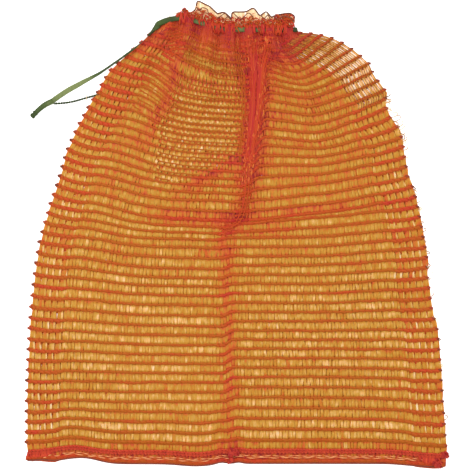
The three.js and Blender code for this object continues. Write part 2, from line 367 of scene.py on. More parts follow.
knot_axis = KNOT_END - KNOT_START
knot_length = np.linalg.norm(knot_axis)
knot_along = knot_axis / knot_length
knot_across = np.cross((0, 0, 1), knot_along)
share = np.linspace(0, 1, 22)
knot_strands = Bundle()
for lay in KNOT_LAYS:
    spread = 1.0 + 0.15 * swell(share, 0.6, 1.0)
    sway = lay["offset"] * spread * np.cos(share * 1.1)
    line = KNOT_START + share[:, None] * knot_axis + sway[:, None] * knot_across
    line[:, 1] += KNOT_BOW * np.sin(math.pi * share)
    line[:, 2] += lay["height"]
    shade = lay["tone"] * (1 - 0.55 * swell(share, 0.2, 0.9))
    half = lay["half"] * (0.75 + 0.25 * spread)
    knot_strands.lay(line, half, KNOT_THICK, sides=8, roll=0.25 * np.sign(lay["offset"]), tone=shade)
for place in KNOT_WRAPS:
    angle = np.linspace(0, 2 * math.pi, 20)
    ring = KNOT_START + (place + 0.03 * angle[:, None] / math.pi) * knot_axis
    ring = ring + WRAP_HALF * np.cos(angle)[:, None] * knot_across
    ring[:, 1] += KNOT_BOW * math.sin(math.pi * place)
    ring[:, 2] += 0.15 + WRAP_RISE * np.sin(angle)
    knot_strands.lay(ring, wide=0.9, thick=0.3, roll=math.pi / 2, tone=0.25, up=knot_along)
knot = knot_strands.piece("drawstring_knot_tie", green_tape)
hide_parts("drawstring_knot")

# The chains of the front layer: rows of knitted loops of red-orange plastic tape, about nine millimetres
# apart, that run across the sack from edge to edge and hold the meshes together. Where the mouth is drawn in
# they fall to a middle crease and to a crease in the left shoulder, with a slack pocket between the two.
HEM_WIDTH = 400.0
BODY_LENGTH = 415.0
WAIST_HALF = 2.6
MOUTH_Y = BODY_LENGTH - WAIST_HALF
NECK_LEFT = 73.0
NECK_RIGHT = 62.0
ROW_PITCH = 9.86
SEAM_Y = 11.3
HEM_ROW = -0.85
ROWS = 47
STITCH = 6.2
BAND = 33.0
CHAIN_LOOP = 0.42
CHAIN_SWING = 0.6
CHAIN_LIFT = 0.28
CHAIN_WANDER = 0.32
YARN_WIDE = 1.05
YARN_THICK = 0.48
LOOP_POINTS = 6
LOOP_SQUARE = 1.6
CORE_WIDE = 1.3
LAYER_SINK = 1.4
NECK_TIGHTER = 0.45
ROW_POINTS = 700
CHAIN_ROWS = [HEM_ROW] + list(range(1, ROWS))
CHAIN_TONE = 0.12
BAND_REDDER = 0.28
DRAWN_AND_SHADE_REDDER = 0.85
HEM_SHADE_DEEPER = 0.4
NET_SEED = 11
GATHERS = 7
HUMP_X = -52.0
HUMP_HALF = 27.0
HUMP_RISE = 11.0
HEM_WAVES = ((4.6, -155.0, 24.0), (-2.0, -38.0, 20.0), (1.8, -13.0, 7.0), (1.2, 3.5, 5.0))
HEM_FALL = 3.4
BAND_KINK = 1.2
EDGE_TOP = 3.0
EDGE_ROUND = 11.0
BODY_TOP = 5.2
NECK_TOP = 7.2
GATHER_RISE = 4.6
PLEAT_RISE = 3.6
CREASE_Y = 229.0
CREASE_DEPTH = 1.3
SWELL_RISE = 0.7
NET_REDS = [(196, 102, 22), (202, 90, 26), (212, 72, 34), (196, 46, 46)]


def side_curve(neck, draw_in):
    """One side of the sack from hem to mouth: the share of its length, how far out it is, and how high."""
    t = 1 - (1 - np.linspace(0, 1, 401)) ** 2
    out = neck + (HEM_WIDTH / 2 - neck) * draw_in(t)
    up = MOUTH_Y * t
    run = run_of(np.stack([out, up], -1))
    return run / run[-1], out, up, run[-1]


left_side = side_curve(NECK_LEFT, lambda t: (1 - t**3) ** 0.75)
right_side = side_curve(NECK_RIGHT, lambda t: (1 - t**1.85) ** 0.4)
SIDE_LENGTH = right_side[3]

# Each fall of the rows is given over the way in from the side, and each drop by the row's share of the
# side. Right of the pleat the rows bend once more. The crease in the left shoulder is given by height.
LEFT_FALL = [
    (0, 0), (0.11, 0.22), (0.22, 0.33), (0.32, 0.48), (0.42, 0.68), (0.53, 0.82), (0.65, 0.9), (1, 1),
]
RIGHT_FALL = [(0, 0), (0.13, 0.27), (0.3, 0.62), (0.4, 0.8), (0.5, 0.94), (0.6, 1), (1, 1)]
LEFT_DROP = [
    (0, 0), (0.12, 1), (0.2, 4), (0.3, 9), (0.36, 11), (0.42, 17), (0.48, 17), (0.55, 26), (0.6, 26),
    (0.68, 31.5), (0.78, 31), (0.86, 28), (0.92, 25), (0.96, 21), (1, 14),
]
RIGHT_DROP = [
    (0, 0), (0.05, -2), (0.15, -3), (0.22, -1), (0.3, 3), (0.4, 7), (0.5, 10.5), (0.53, 10.5), (0.56, 16.5),
    (0.64, 17), (0.7, 21), (0.745, 24.5), (0.83, 26), (0.88, 29), (0.92, 28), (0.96, 22), (1, 13),
]
RIGHT_BEND = [
    (0, 0), (0.45, 0), (0.5, -4), (0.56, -7), (0.62, -5), (0.66, 0), (0.72, 4.5), (0.85, 7), (0.92, 7),
    (1, 0),
]
PLEAT_LINE = [
    (0, -5), (0.15, -6), (0.35, -7.5), (0.44, -7), (0.465, -9), (0.49, -13), (0.527, -3), (0.57, 7),
    (0.65, 15.8), (0.77, 21.5), (0.885, 24), (1, 25),
]
LEFT_CREASE = (
    (277.0, 320.0, 339.0, 350.0, 369.0, 387.0, 401.0),
    (-81.0, -77.0, -69.0, -61.0, -56.0, -54.5, -50.0),
)
CREASE_FALL = [(0, 0), (0.7, 0), (0.77, 2), (0.84, 8), (0.9, 13), (0.95, 12), (1, 4)]
left_fall, right_fall, left_drop, right_drop, right_bend, pleat_line, crease_fall = (
    curve_through(table, 8).T
    for table in (LEFT_FALL, RIGHT_FALL, LEFT_DROP, RIGHT_DROP, RIGHT_BEND, PLEAT_LINE, CREASE_FALL))


def edge(side, s):
    """How far out and how high the side is at a share s of the right side's length."""
    shorter = SIDE_LENGTH - side[3]
    along = (SIDE_LENGTH * s - shorter * swell(s, 0.6, 1.0)) / side[3]
    return np.interp(along, side[0], side[1]), np.interp(along, side[0], side[2])


def pleat_x(s):
    """Where the middle crease lies, and the pleat over it, which leans to the right towards the mouth."""
    return np.interp(s, *pleat_line)


def gather(u):
    """The waves in which the cloth is gathered on the string, from 0 to 1."""
    return 0.5 - 0.5 * np.cos(2 * math.pi * GATHERS * u)


def hump(x):
    """How far the cloth and the string hump up at the left of the mouth."""
    return HUMP_RISE * bell(x - HUMP_X, HUMP_HALF)


def string_y(x):
    """The line of the string across the mouth."""
    return BODY_LENGTH + hump(x)


def hem_wave(x):
    """How far the hem lies above or below its straight line."""
    wave = sum(rise * bell(x - middle, half) for rise, middle, half in HEM_WAVES)
    return wave - HEM_FALL * swell(x, 140.0, 196.0)


# How far each side edge stands out of its smooth line, by height.
LEFT_EDGE = (
    (205, 235, 250, 268, 285, 300, 355, 366, 377, 388, 400),
    (0, -2, -2, -3, -1.5, 0, 0, 2, 3.5, 1.5, 0),
)
RIGHT_EDGE = (
    (0, 20, 60, 135, 142, 183, 192, 264, 275, 290, 312, 320, 332, 340, 348, 355, 366, 374, 383, 400, 412),
    (1, 2, 0, 0, -3, -3.5, -1, -1, -3.5, -2, 1.5, 1.5, -2.5, -2.5, 0, 5.5, 3, 3, 6, 2.5, 0),
)


def plan(u, s):
    """Where a share u of the width and s of the length lies across and along, and its room to the side."""
    left_x, left_y = edge(left_side, s)
    right_x, right_y = edge(right_side, s)
    left_x = left_x + np.interp(left_y, *LEFT_EDGE) * (1 - swell(u, 0.0, 0.4))
    right_x = right_x + np.interp(right_y, *RIGHT_EDGE) * swell(u, 0.6, 1.0)
    left_y = left_y + 5.0 * bell(s - 0.45, 0.12)
    x = -left_x + (left_x + right_x) * u
    fold_x = pleat_x(s)
    from_left = np.clip((x + left_x) / (left_x + fold_x), 0, 1)
    from_right = np.clip((right_x - x) / (right_x - fold_x), 0, 1)
    on_left = left_y - np.interp(s, *left_drop) * np.interp(from_left, *left_fall)
    deeper = np.interp(s, *crease_fall)
    from_crease = x - np.interp(on_left - deeper / 2, *LEFT_CREASE)
    on_left = on_left - deeper * swell(from_crease, -32.0, 8.0)
    on_right = right_y - np.interp(s, *right_drop) * np.interp(from_right, *right_fall)
    on_right = on_right + np.interp(s, *right_bend) * swell(from_right, 0.5, 1.0)
    fold_half = 5.5 + 4.0 * swell(s, 0.45, 0.6)
    y = on_left + (on_right - on_left) * swell(x - fold_x, -fold_half, fold_half)
    y = y + hump(x) * swell(s, 0.9, 1.0)
    y = y + hem_wave(x) * (1 - swell(s, 0.05, 0.16))
    turned_up = 2.8 * (1 - swell(x, -188.0, -168.0)) + 2.2 * bell(x + 139.0, 16.0)
    y = y + turned_up * (1 - swell(s, row_share(HEM_ROW), row_share(0)))
    room = np.minimum(u, 1 - u) * (left_x + right_x)
    kink = BAND_KINK * (1 - swell(room, BAND - 4, BAND + 1)) * swell(room, 0.0, 6.0)
    kink = kink * swell(s, 0.02, 0.07) * (1 - swell(s, 0.7, 0.9))
    return x, y - kink, room


def cloth_top(u, s):
    """Height of the upper face of the sack."""
    x, y, room = plan(u, s)
    bunch = swell(s, 0.84, 1.0)
    inset = np.minimum(room, MOUTH_Y * s)
    rounded = 1 - (1 - np.clip(inset / EDGE_ROUND, 0, 1)) ** 2
    flat = BODY_TOP + (NECK_TOP - BODY_TOP) * bunch
    folds = GATHER_RISE * gather(u) * swell(s, 0.66, 1.0)
    pleat = PLEAT_RISE * bell(x - pleat_x(s), 8.0) * swell(s, 0.34, 0.84) * (1 - bunch)
    crease = CREASE_DEPTH * bell(y - CREASE_Y, 5.0)
    swells = SWELL_RISE * np.sin(x / 43.0) * np.sin(y / 57.0)
    return EDGE_TOP + (flat + folds + pleat - crease + swells - EDGE_TOP) * rounded


def front(u, s):
    """A point of the front layer of the net."""
    x, y, _ = plan(u, s)
    top = cloth_top(u, s)
    return np.stack(np.broadcast_arrays(x, y, top - LAYER_SINK * (1 + swell(top, 3.0, 5.0))), -1)


def stitch_length(s):
    """How long a stitch is drawn: full in the body, shorter where the cloth is gathered to the mouth."""
    return STITCH * (1 - NECK_TIGHTER * swell(s, 0.6, 1.0))


def row_share(row):
    """The share of the side at which a row of chain lies."""
    return (SEAM_Y + row * ROW_PITCH) / SIDE_LENGTH


def stitch_places(layer, s):
    """Points over the width, the stitches counted off up to each of them, and the stitches in the row."""
    u = np.linspace(0, 1, ROW_POINTS)
    run = run_of(layer(u, s)[:, :2])
    counted = np.concatenate([[0.0], np.cumsum(np.diff(run) / stitch_length(s))])
    stitches = max(3, round(counted[-1]))
    return u, counted * stitches / counted[-1], stitches


def loops(line, stitches, rng, swing=CHAIN_SWING, wander=0.2):
    """The yarn of a chain along a line of even stitches, as it loops back through itself."""
    share = np.linspace(0, stitches, len(line))
    t = np.linspace(0, stitches, stitches * LOOP_POINTS + 1)
    looped = np.clip(t + CHAIN_LOOP * np.sin(2 * math.pi * t), 0, stitches)
    yarn = np.stack([np.interp(looped, share, line[:, axis]) for axis in range(3)], -1)
    ahead = np.gradient(line[:, :2], axis=0)
    ahead = ahead / np.linalg.norm(ahead, axis=1, keepdims=True)
    ahead = np.stack([np.interp(looped, share, ahead[:, axis]) for axis in range(2)], -1)
    swing = np.interp(looped, share, np.broadcast_to(swing, len(line)))
    knots = np.arange(0, stitches + 4, 3)
    sway = np.interp(looped, knots, rng.normal(0, wander, len(knots)))
    aside = swing * np.clip(LOOP_SQUARE * np.cos(2 * math.pi * t), -1, 1) + sway
    yarn[:, 0] -= ahead[:, 1] * aside
    yarn[:, 1] += ahead[:, 0] * aside
    yarn[:, 2] += CHAIN_LIFT * np.sin(2 * math.pi * t)
    return yarn, looped / stitches


def pocket(x, y):
    """1 in the slack pocket left of the pleat, where the two layers lie out of step, and 0 elsewhere."""
    inside = swell(x - np.interp(y, *LEFT_CREASE), -2.0, 8.0) * (1 - swell(x, 2.0, 16.0))
    below = swell(y - 0.55 * np.maximum(x + 45.0, 0.0), 262.0, 274.0)
    return inside * below * (1 - swell(y, 366.0, 392.0))


def doubled(x, y):
    """1 on the left shoulder beside the pocket, where rows of both layers show in turn, and 0 elsewhere."""
    from_crease = x - np.interp(y, *LEFT_CREASE)
    beside = swell(from_crease, -40.0, -28.0) * (1 - swell(from_crease, -4.0, 2.0))
    return beside * swell(y, 322.0, 345.0) * (1 - swell(y, 390.0, 402.0))


def drawn_in_and_shade(x, y, s):
    """How far the cloth is drawn together: 1 at the mouth and on the pleat, less on the creases, with
    painted shade below the middle crease.
    """
    pleated = swell(s, 0.5, 0.72)
    middle = bell(x - pleat_x(s) + 4.0 * pleated, 9.0 + 5.0 * pleated)
    middle = middle * (0.46 + 0.54 * swell(s, 0.57, 0.72))
    across = 0.65 * bell(y - 235.0 - 0.13 * np.maximum(x - 30.0, 0.0), 6.0) * swell(x, -95.0, -50.0)
    across = across * (1 - 0.35 * swell(x, 0.0, 30.0) - 0.35 * swell(x, 60.0, 160.0))
    # Painted shade: a second band just below the middle crease, on the right, is darkened and reddened as if
    # drawn in.
    across = across + 0.3 * bell(y - 222.0, 7.0) * swell(x, -30.0, -12.0) * (1 - swell(x, 45.0, 80.0))
    at_mouth = 0.2 + 0.55 * swell(x, -20.0, 20.0)
    beside_pocket = 0.4 * bell(x - np.interp(y, *LEFT_CREASE) + 3.0, 7.0) * swell(y, 290.0, 330.0)
    under_pocket = 0.55 * bell(y - 267.0 - 0.55 * (x + 43.0), 9.0)
    under_pocket = under_pocket * swell(x, -62.0, -40.0) * (1 - swell(x, 12.0, 24.0))
    drawn = np.maximum(middle, under_pocket) + across + beside_pocket
    on_left = 1 - swell(x, -10.0, 15.0)
    drawn = drawn + at_mouth * swell(s, 0.88 + 0.08 * on_left, 1.0)
    drawn = drawn + 0.25 * swell(s, 0.92 + 0.05 * on_left, 1.0)
    drawn = drawn + 0.3 * bell(x + 44.0, 12.0) * bell(y - 394.0, 11.0)
    drawn = drawn + 0.55 * swell(y, 386.0, 402.0) * (1 - swell(x, -66.0, -54.0))
    return np.clip(drawn, 0, 1)


def open_shoulder(x, s, room):
    """1 along the right shoulder, where the taut meshes stand open, and 0 elsewhere."""
    return (x > 0) * swell(s, 0.73, 0.82) * (1 - swell(room, 22.0, 32.0))


def chain(layer, s, rng):
    """A row of chain stitches: looping yarn and the straight core in it, with half widths and tones."""
    u, counted, stitches = stitch_places(layer, s)
    at = np.interp(np.linspace(0, stitches, stitches * 4 + 1), counted, u)
    x, y, room = plan(at, s)
    band = (1 - swell(room, BAND - 5, BAND + 4)) * (1 - open_shoulder(x, s, room)) * swell(s, 0.02, 0.07)
    slack = pocket(x, y) + 0.8 * doubled(x, y)
    line = layer(at, s)
    knots = np.arange(0, len(at) + 12, 6)
    line[:, 1] += np.interp(np.arange(len(at)), knots, rng.normal(0, CHAIN_WANDER, len(knots)))
    yarn, along = loops(line, stitches, rng, CHAIN_SWING * (1 + 0.5 * band - 0.2 * slack))
    low = 1 - swell(s, 0.03, 0.13)
    # The drawn-in amount includes painted shade below the middle crease, which makes the chains there
    # redder.
    drawn = drawn_in_and_shade(x, y, s)
    creased = drawn * (1 - swell(s, 0.64, 0.74)) * (1 - low)
    bunched = band * (x < 0) * swell(s, 0.68, 0.76) * (1 - swell(s, 0.9, 0.96))
    wide = YARN_WIDE * (1 + 0.35 * band - 0.58 * slack + 0.5 * low + 0.7 * creased + 0.2 * bunched)
    tone = CHAIN_TONE + BAND_REDDER * band - 0.1 * slack + DRAWN_AND_SHADE_REDDER * drawn + 0.1 * bunched
    tone = tone + rng.normal(0, 0.06)
    tone = tone + np.interp(np.arange(len(at)), knots, rng.normal(0, 0.12, len(knots)))
    share = np.linspace(0, 1, len(at))
    core = line[::2] - (0.0, 0.0, 0.15)
    core_wide = CORE_WIDE * (1 + 0.5 * band - 0.72 * slack + 0.9 * low + 0.7 * creased + 0.2 * bunched)[::2]
    yarn_wide = np.interp(along, share, wide)
    yarn_tone = np.interp(along, share, tone)
    return yarn, yarn_wide, yarn_tone, core, core_wide, tone[::2] - 0.1


rng = np.random.default_rng(NET_SEED)
net_red = film("net_red", NET_REDS, roughness=0.45, through=0.3, streak=60.0)
front_rows = Bundle()
for row in CHAIN_ROWS:
    yarn, wide, tone, core, core_wide, core_tone = chain(front, row_share(row), rng)
    # Painted shade: the lowest chain, along the hem's edge, is made deeper red for the rim of shade under
    # that edge.
    deeper = HEM_SHADE_DEEPER * (row == HEM_ROW)
    front_rows.lay(yarn, wide, YARN_THICK, sides=4, tone=tone + deeper)
    front_rows.lay(core, core_wide, YARN_THICK, sides=4, tone=core_tone + deeper)
front_chains = front_rows.piece("front_chains", net_red)
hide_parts("net_sack")

# The tapes of the front layer: thin golden plastic film laid in between the chains. It runs up and down
# from chain to chain, a leg up and a leg down in each stitch, held at each turn by a loop of the chain.
TAPE_WIDE = 3.1
TAPE_THICK = 0.16
TAPE_REACH = (-0.1, 0.35, 0.65, 1.1)
# Painted shade, partly real: the legs are darker at both ends, where the film bunches under the chain and
# where the chain's shade falls on it.
TAPE_TURN_SHADE = (-0.42, 0.02, 0.02, -0.42)
TAPE_FLECK = 0.06
TAPE_TONE = 0.76
UPPER_DARKER = 0.2
DRAWN_AND_SHADE_DARKER = 0.62
SHOULDER_PALER = 0.46
POCKET_LIGHT_DOTS = (0.07, 0.24, -0.06, -0.02)
NET_GOLDS = [
    (178, 42, 46), (212, 82, 44), (228, 122, 50), (217, 153, 48),
    (228, 177, 74), (250, 208, 136), (255, 238, 200),
]
GOLD_REACH = 0.83
TAPE_ROWS = [HEM_ROW] + list(range(ROWS - 1))


def tapes(layer, row, rng, step=0.0):
    """The legs of tape between a row and the next: their lines, half widths, tilts and tones."""
    height = 1.0 if row >= 0 else -row
    s = row_share(row + 0.5 * height)
    u, counted, stitches = stitch_places(layer, s)
    legs = np.arange(2 * stitches - 1)
    u_leg = np.interp(legs / 2 + 0.5, counted, u)
    x, y, room = plan(u_leg, s)
    band = 1 - swell(room, BAND - 5, BAND + 3)
    slack = pocket(x, y) * (1 - step)
    shoulder = open_shoulder(x, s, room)
    going_up = legs % 2 == 0
    middle = legs / 2 + 0.5 + np.where(going_up, 0.09, -0.06) * band + rng.normal(0, 0.035, len(legs))
    middle = middle + step * (0.25 - 0.09 * band) * (1 - shoulder)
    slits = 0.5 * band * (1 - step)
    # How much painted light stands in for the bright slits of the side bands in this row.
    slit_light = rng.uniform(0.2, 1.0)
    lower = 1 - 1.4 * swell(s, 0.45, 0.62)
    lean = np.where(going_up, 1, -1) * (0.04 + 0.08 * slack) + rng.normal(0, 0.05, len(legs))
    v = np.array(TAPE_REACH)
    place = np.clip(middle[:, None] + lean[:, None] * (2 * v - 1), 0.2, stitches - 0.2)
    at = np.interp(place, counted, u)
    lines = layer(at, np.broadcast_to(row_share(row + v * height), at.shape))
    lines[..., 2] -= 0.3 * np.abs(2 * v - 1) ** 3 + rng.uniform(0, 0.15, len(legs))[:, None]
    body = (1 - band) * (1 - pocket(x, y)) * (1 - shoulder)
    smooth = swell(s, 0.45, 0.6) * swell(-x, 40.0, 80.0)
    narrow = 0.2 * body * (1 - step) * (1 - 0.7 * smooth)
    share = (1.1 + 0.3 * step - narrow) * np.where(going_up, 1 + 0.5 * slits, 1 - slits)
    share = share * (1 - 0.25 * shoulder) * (1 - 0.2 * step * shoulder) * (1 - 0.2 * slack)
    share = share * (1 + rng.normal(0, 0.08, len(legs)))
    share = share * np.where(rng.random(len(legs)) < 0.08 * (1 - step), 0.75, 1.0)
    half = TAPE_WIDE / 2 * share * stitch_length(s) / STITCH * math.sqrt(2)
    tilt = np.clip(rng.normal(0, 0.12, len(legs)), -0.2, 0.2) * (1 - 0.6 * step)
    patch = 0.035 * np.sin(x / 37.0 + row * 2.1) + 0.03 * np.sin(x / 13.0 + row * 4.7) + rng.normal(0, 0.02)
    # The drawn-in amount includes painted shade below the middle crease, which makes the tapes there darker.
    tone = TAPE_TONE - UPPER_DARKER * swell(y, 120.0, 380.0) - DRAWN_AND_SHADE_DARKER * drawn_in_and_shade(x, y, s)
    tone = tone + 0.06 * pocket(x, y) + patch
    behind = 0.08 + 0.12 * pocket(x, y) - 0.15 * band * lower - 0.08 * body
    tone = tone + step * behind + rng.normal(0, 0.05, len(legs))
    bunched = band * (x < 0) * swell(s, 0.76, 0.82) * (1 - swell(s, 0.9, 0.96))
    tone = tone + SHOULDER_PALER * shoulder - 0.1 * bunched + 0.08 * doubled(x, y)
    # Painted light: below the neck, left of the pleat, the tapes are made lighter to make up for the shade
    # of the crowded neck rows over them.
    tone = tone + 0.1 * swell(y, 376.0, 386.0) * swell(x, -60.0, -45.0) * (1 - swell(x, 0.0, 15.0))
    tone = tone - 0.12 * bell(y - 362.0, 10.0) * swell(x, -50.0, -35.0) * (1 - swell(x, -5.0, 8.0))
    # Painted light: in the side bands the narrow down legs are made cream, standing in for the bright slits
    # where light shows through the net; the up legs lower down are a little darker.
    slit_light_legs = np.where(going_up, -0.1 * lower, 0.26 * slit_light) * band * (1 - step) * (1 - shoulder)
    tone = tone + slit_light_legs * swell(s, 0.02, 0.06)
    tone = tone - 0.3 * (s < row_share(0)) - 0.2 * (s < row_share(1))
    # Painted light: in the slack pocket the legs are lighter near their middles, bright dots that stand in
    # for the light showing through the open meshes.
    dot_light = np.where(going_up[:, None], POCKET_LIGHT_DOTS, POCKET_LIGHT_DOTS[::-1]) * slack[:, None]
    flecks = rng.normal(0, TAPE_FLECK, dot_light.shape)
    return lines, half[:, None], tilt[:, None], (tone[:, None] + TAPE_TURN_SHADE + dot_light + flecks) * GOLD_REACH


net_gold = film("net_gold", NET_GOLDS, roughness=0.45, through=0.45, streak=150.0, depth=0.75)
front_strips = Bundle()
for row in TAPE_ROWS:
    lines, half, tilt, tone = tapes(front, row, rng)
    front_strips.lay(lines, half, TAPE_THICK, sides=4, roll=tilt, tone=tone)
front_tapes = front_strips.piece("front_tapes", net_gold, smooth=False)
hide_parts("net_sack")

# The chains of the back layer: the same knitted rows of red-orange tape, lying on the table under the front
# layer and joined to it along both sides. In the slack pocket and beside it they come up through the front
# layer and show between its rows.
BAND_DROP = 1.9
BACK_HEIGHT = 1.2


def back(u, s):
    """A point of the back layer, lower in the side bands and half a row out of step in the pocket."""
    x, y, room = plan(u, s)
    drop = BAND_DROP * (1 - swell(room, BAND - 6, BAND + 3)) * swell(room, 0.0, 5.0)
    y = y - drop - ROW_PITCH / 2 * (pocket(x, y) + doubled(x, y))
    return np.stack(np.broadcast_arrays(x, y, BACK_HEIGHT + 0.2 * np.sin(x / 31.0 + y / 23.0)), -1)


def cloth_at(x, y):
    """Height of the front layer at a place across and along the sack."""
    s = y / SIDE_LENGTH
    for _ in range(14):
        left_x, right_x = edge(left_side, s)[0], edge(right_side, s)[0]
        u = np.clip((x + left_x) / (left_x + right_x), 0, 1)
        s = np.clip(s + (y - plan(u, s)[1]) / MOUTH_Y, 0, 1)
    return front(u, s)[..., 2]


back_rows = Bundle()
for row in CHAIN_ROWS:
    yarn, wide, tone, core, core_wide, core_tone = chain(back, row_share(row), rng)
    for line in (yarn, core):
        pressed_up = cloth_at(line[:, 0], line[:, 1]) + 0.1 - line[:, 2]
        line[:, 2] += pressed_up * (pocket(line[:, 0], line[:, 1]) + doubled(line[:, 0], line[:, 1]))
    # Painted shade: the lowest chain, along the hem's edge, is made deeper red for the rim of shade under
    # that edge.
    deeper = HEM_SHADE_DEEPER * (row == HEM_ROW)
    back_rows.lay(yarn, wide, YARN_THICK, sides=4, tone=tone + deeper)
    back_rows.lay(core, core_wide, YARN_THICK, sides=4, tone=core_tone + deeper)
back_chains = back_rows.piece("back_chains", net_red)
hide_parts("net_sack")

# The brown threads of the net, of the same drawn tape: one goes round the side edge at each row, from the
# front layer to the back, painted dark brown for the shade of the turn seen end on. Fine ones stand between
# the open meshes of the right shoulder, and one runs along the lower edge of the hem, a dark strand painted
# for the shade under that edge.
EDGE_BROWNS_AND_SHADE = [(112, 52, 36), (168, 68, 42)]
TURN_INWARD = 2.2
TURN_OUT = 1.5
SHOULDER_LIFT = 0.4
HEM_SHADE_DROP = (0.0, 2.3, 0.2)

edge_brown_and_shade = film("edge_brown_and_shade", EDGE_BROWNS_AND_SHADE, roughness=0.5, through=0.1, streak=80.0)
edge_turns = Bundle()
for row in range(1, ROWS):
    for u, outward in ((0.0, -1.0), (1.0, 1.0)):
        upper, lower = front(u, row_share(row)), back(u, row_share(row))
        inward = (-TURN_INWARD * outward, 0.0, 0.0)
        outer = (upper + lower) / 2 + (outward * TURN_OUT, rng.normal(-0.5, 0.4), 0.0)
        turn = curve_through([upper + inward, upper, outer, lower, lower + inward], 3)
        # Painted shade: each turn is dark brown, standing in for the shade of the turn seen end on at the
        # side edge.
        edge_turns.lay(turn, rng.uniform(0.9, 1.3), thick=0.8, sides=5, tone=rng.uniform(0.0, 0.9))
for row in range(1, ROWS - 1):
    s = row_share(row + 0.5)
    u, counted, stitches = stitch_places(front, s)
    between_legs = np.interp(np.arange(1, 2 * stitches) / 2 + 0.25, counted, u)
    x, _, room = plan(between_legs, s)
    for place in between_legs[open_shoulder(x, s, room) > 0.4]:
        thread = front(np.full(4, place), row_share(row + np.linspace(0, 1, 4)))
        thread = thread + (0.0, 0.0, SHOULDER_LIFT)
        edge_turns.lay(thread, rng.uniform(0.15, 0.35), thick=0.25, sides=4, tone=rng.uniform(0.2, 1.0))
# Painted shade: a dark strand along the lower edge of the hem stands in for the rim of shade under that
# edge.
hem_shade_line = front(np.linspace(0.004, 0.994, 300), row_share(HEM_ROW)) - HEM_SHADE_DROP
edge_turns.lay(hem_shade_line, wide=0.9, thick=0.6, sides=5, tone=0.2)
edge_knots = edge_turns.piece("edge_turns", edge_brown_and_shade)
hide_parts("net_sack")

# The tapes of the back layer: the same golden film, laid in between the back chains from edge to edge. They
# lie a quarter of a stitch out of step with the front tapes and show in the gaps between them.
back_strips = Bundle()
for row in TAPE_ROWS:
    lines, half, tilt, tone = tapes(back, row, rng, step=1.0)
    back_strips.lay(lines, half, TAPE_THICK, sides=4, roll=tilt, tone=tone)
back_tapes = back_strips.piece("back_tapes", net_gold, smooth=False)
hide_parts("net_sack")

# The chains in the folds: where the mouth is drawn in, the spare width lies in a thick middle pleat and in
# smaller folds, several layers of net deep, so that the chains crowd together and look deep red. Below the
# string they cross the neck in fine wavy rows, and the pleat's lower end fades into the middle crease.
PLEAT_FOLD = [
    (23.0, 410.0, 18.0), (22.0, 400.0, 16.0), (21.0, 388.0, 12.0), (20.0, 370.0, 9.0), (19.0, 345.0, 7.5),
    (16.5, 320.0, 6.5), (13.5, 300.0, 5.5), (12.0, 282.0, 4.5),
]
PLEAT_END = [
    (13.0, 296.0, 4.5), (12.0, 278.0, 4.5), (11.5, 262.0, 4.5), (9.5, 250.0, 4.5), (7.0, 241.0, 5.0),
    (2.5, 231.5, 6.0), (-6.5, 225.5, 5.0), (-14.5, 216.5, 3.5),
]
NECK_ROWS = [(-61.0, 420.0, 7.0), (-58.0, 410.0, 10.0), (-56.0, 398.0, 10.0), (-56.0, 390.0, 6.0)]
NECK_LINES = (5.5, 8.5, 12.0, 16.0, 20.5, 26.0, 31.0, 36.0, 41.0)
NECK_LONG = (-62.0, 52.0, 150)
NECK_SHORT = (-48.0, 10.0, 75)
NECK_SHORT_FROM = 24.0
NECK_STITCH = 2.8
NECK_WIDE = YARN_WIDE * 0.45
NECK_THICK = YARN_THICK * 0.6
FOLD_STITCH = 4.0
FOLD_SEED = 23
FOLD_RISE = 0.9
PLEAT_STRANDS = 60
END_STRANDS = 7
STRAND_THICK = 0.4
CROSS_WIDE = YARN_WIDE * 0.8


def on_cloth(points, lift):
    """A smooth line laid on the front layer, lifted off it by so much and sunk into it at both ends."""
    line = curve_through(points, 12)
    share = np.linspace(-1, 1, len(line))
    height = cloth_at(line[:, 0], line[:, 1]) + lift * (1 - share**6) - 0.6 * share**6
    return np.stack([line[:, 0], line[:, 1], height], -1)


def gathered(bundle, ridge, strands, rng, tone, wide):
    """Strands of net drawn together along a fold, given by points along it with the half width at each."""
    ridge = np.array(ridge)
    for _ in range(strands):
        lean = np.clip(rng.normal(0, 0.7), -1.7, 1.7)
        first = rng.integers(0, max(1, len(ridge) // 3))
        last = len(ridge) - rng.integers(0, max(1, len(ridge) // 3))
        part = ridge[first:last]
        x = part[:, 0] + lean * part[:, 2] + rng.normal(0, 0.5, len(part))
        lift = FOLD_RISE * (1.2 - min(1, lean**2)) + rng.uniform(-0.2, 0.2)
        line = on_cloth(np.stack([x, part[:, 1]], -1), lift)
        shade = tone - 0.25 * lean**2 + rng.normal(0, 0.16)
        bundle.lay(line, wide * rng.uniform(0.6, 1.3), STRAND_THICK, roll=rng.normal(0, 0.25), tone=shade)


def crossing(bundle, ridge, spacing, rng, tone, lift):
    """Short rows of chain across a fold, some of them reaching out of it on one side."""
    ridge = curve_through(ridge, 12)
    run = run_of(ridge[:, :2])
    for along in np.arange(0, run[-1], spacing):
        x, y, half = (np.interp(along + rng.normal(0, 0.5), run, ridge[:, axis]) for axis in range(3))
        reach = half * rng.uniform(0.7, 1.5, 2) * (-1, 1)
        line_x = x + np.array((reach[0], 0.0, reach[1]))
        line_y = y + np.array((-0.15, 0.0, 0.15)) * half + rng.normal(0, 0.6, 3)
        line = on_cloth(np.stack([line_x, line_y], -1), lift)
        yarn, _ = loops(line, max(2, round(run_of(line)[-1] / FOLD_STITCH)), rng, wander=0.15)
        bundle.lay(yarn, CROSS_WIDE, YARN_THICK, sides=4, tone=tone + rng.normal(0, 0.07))


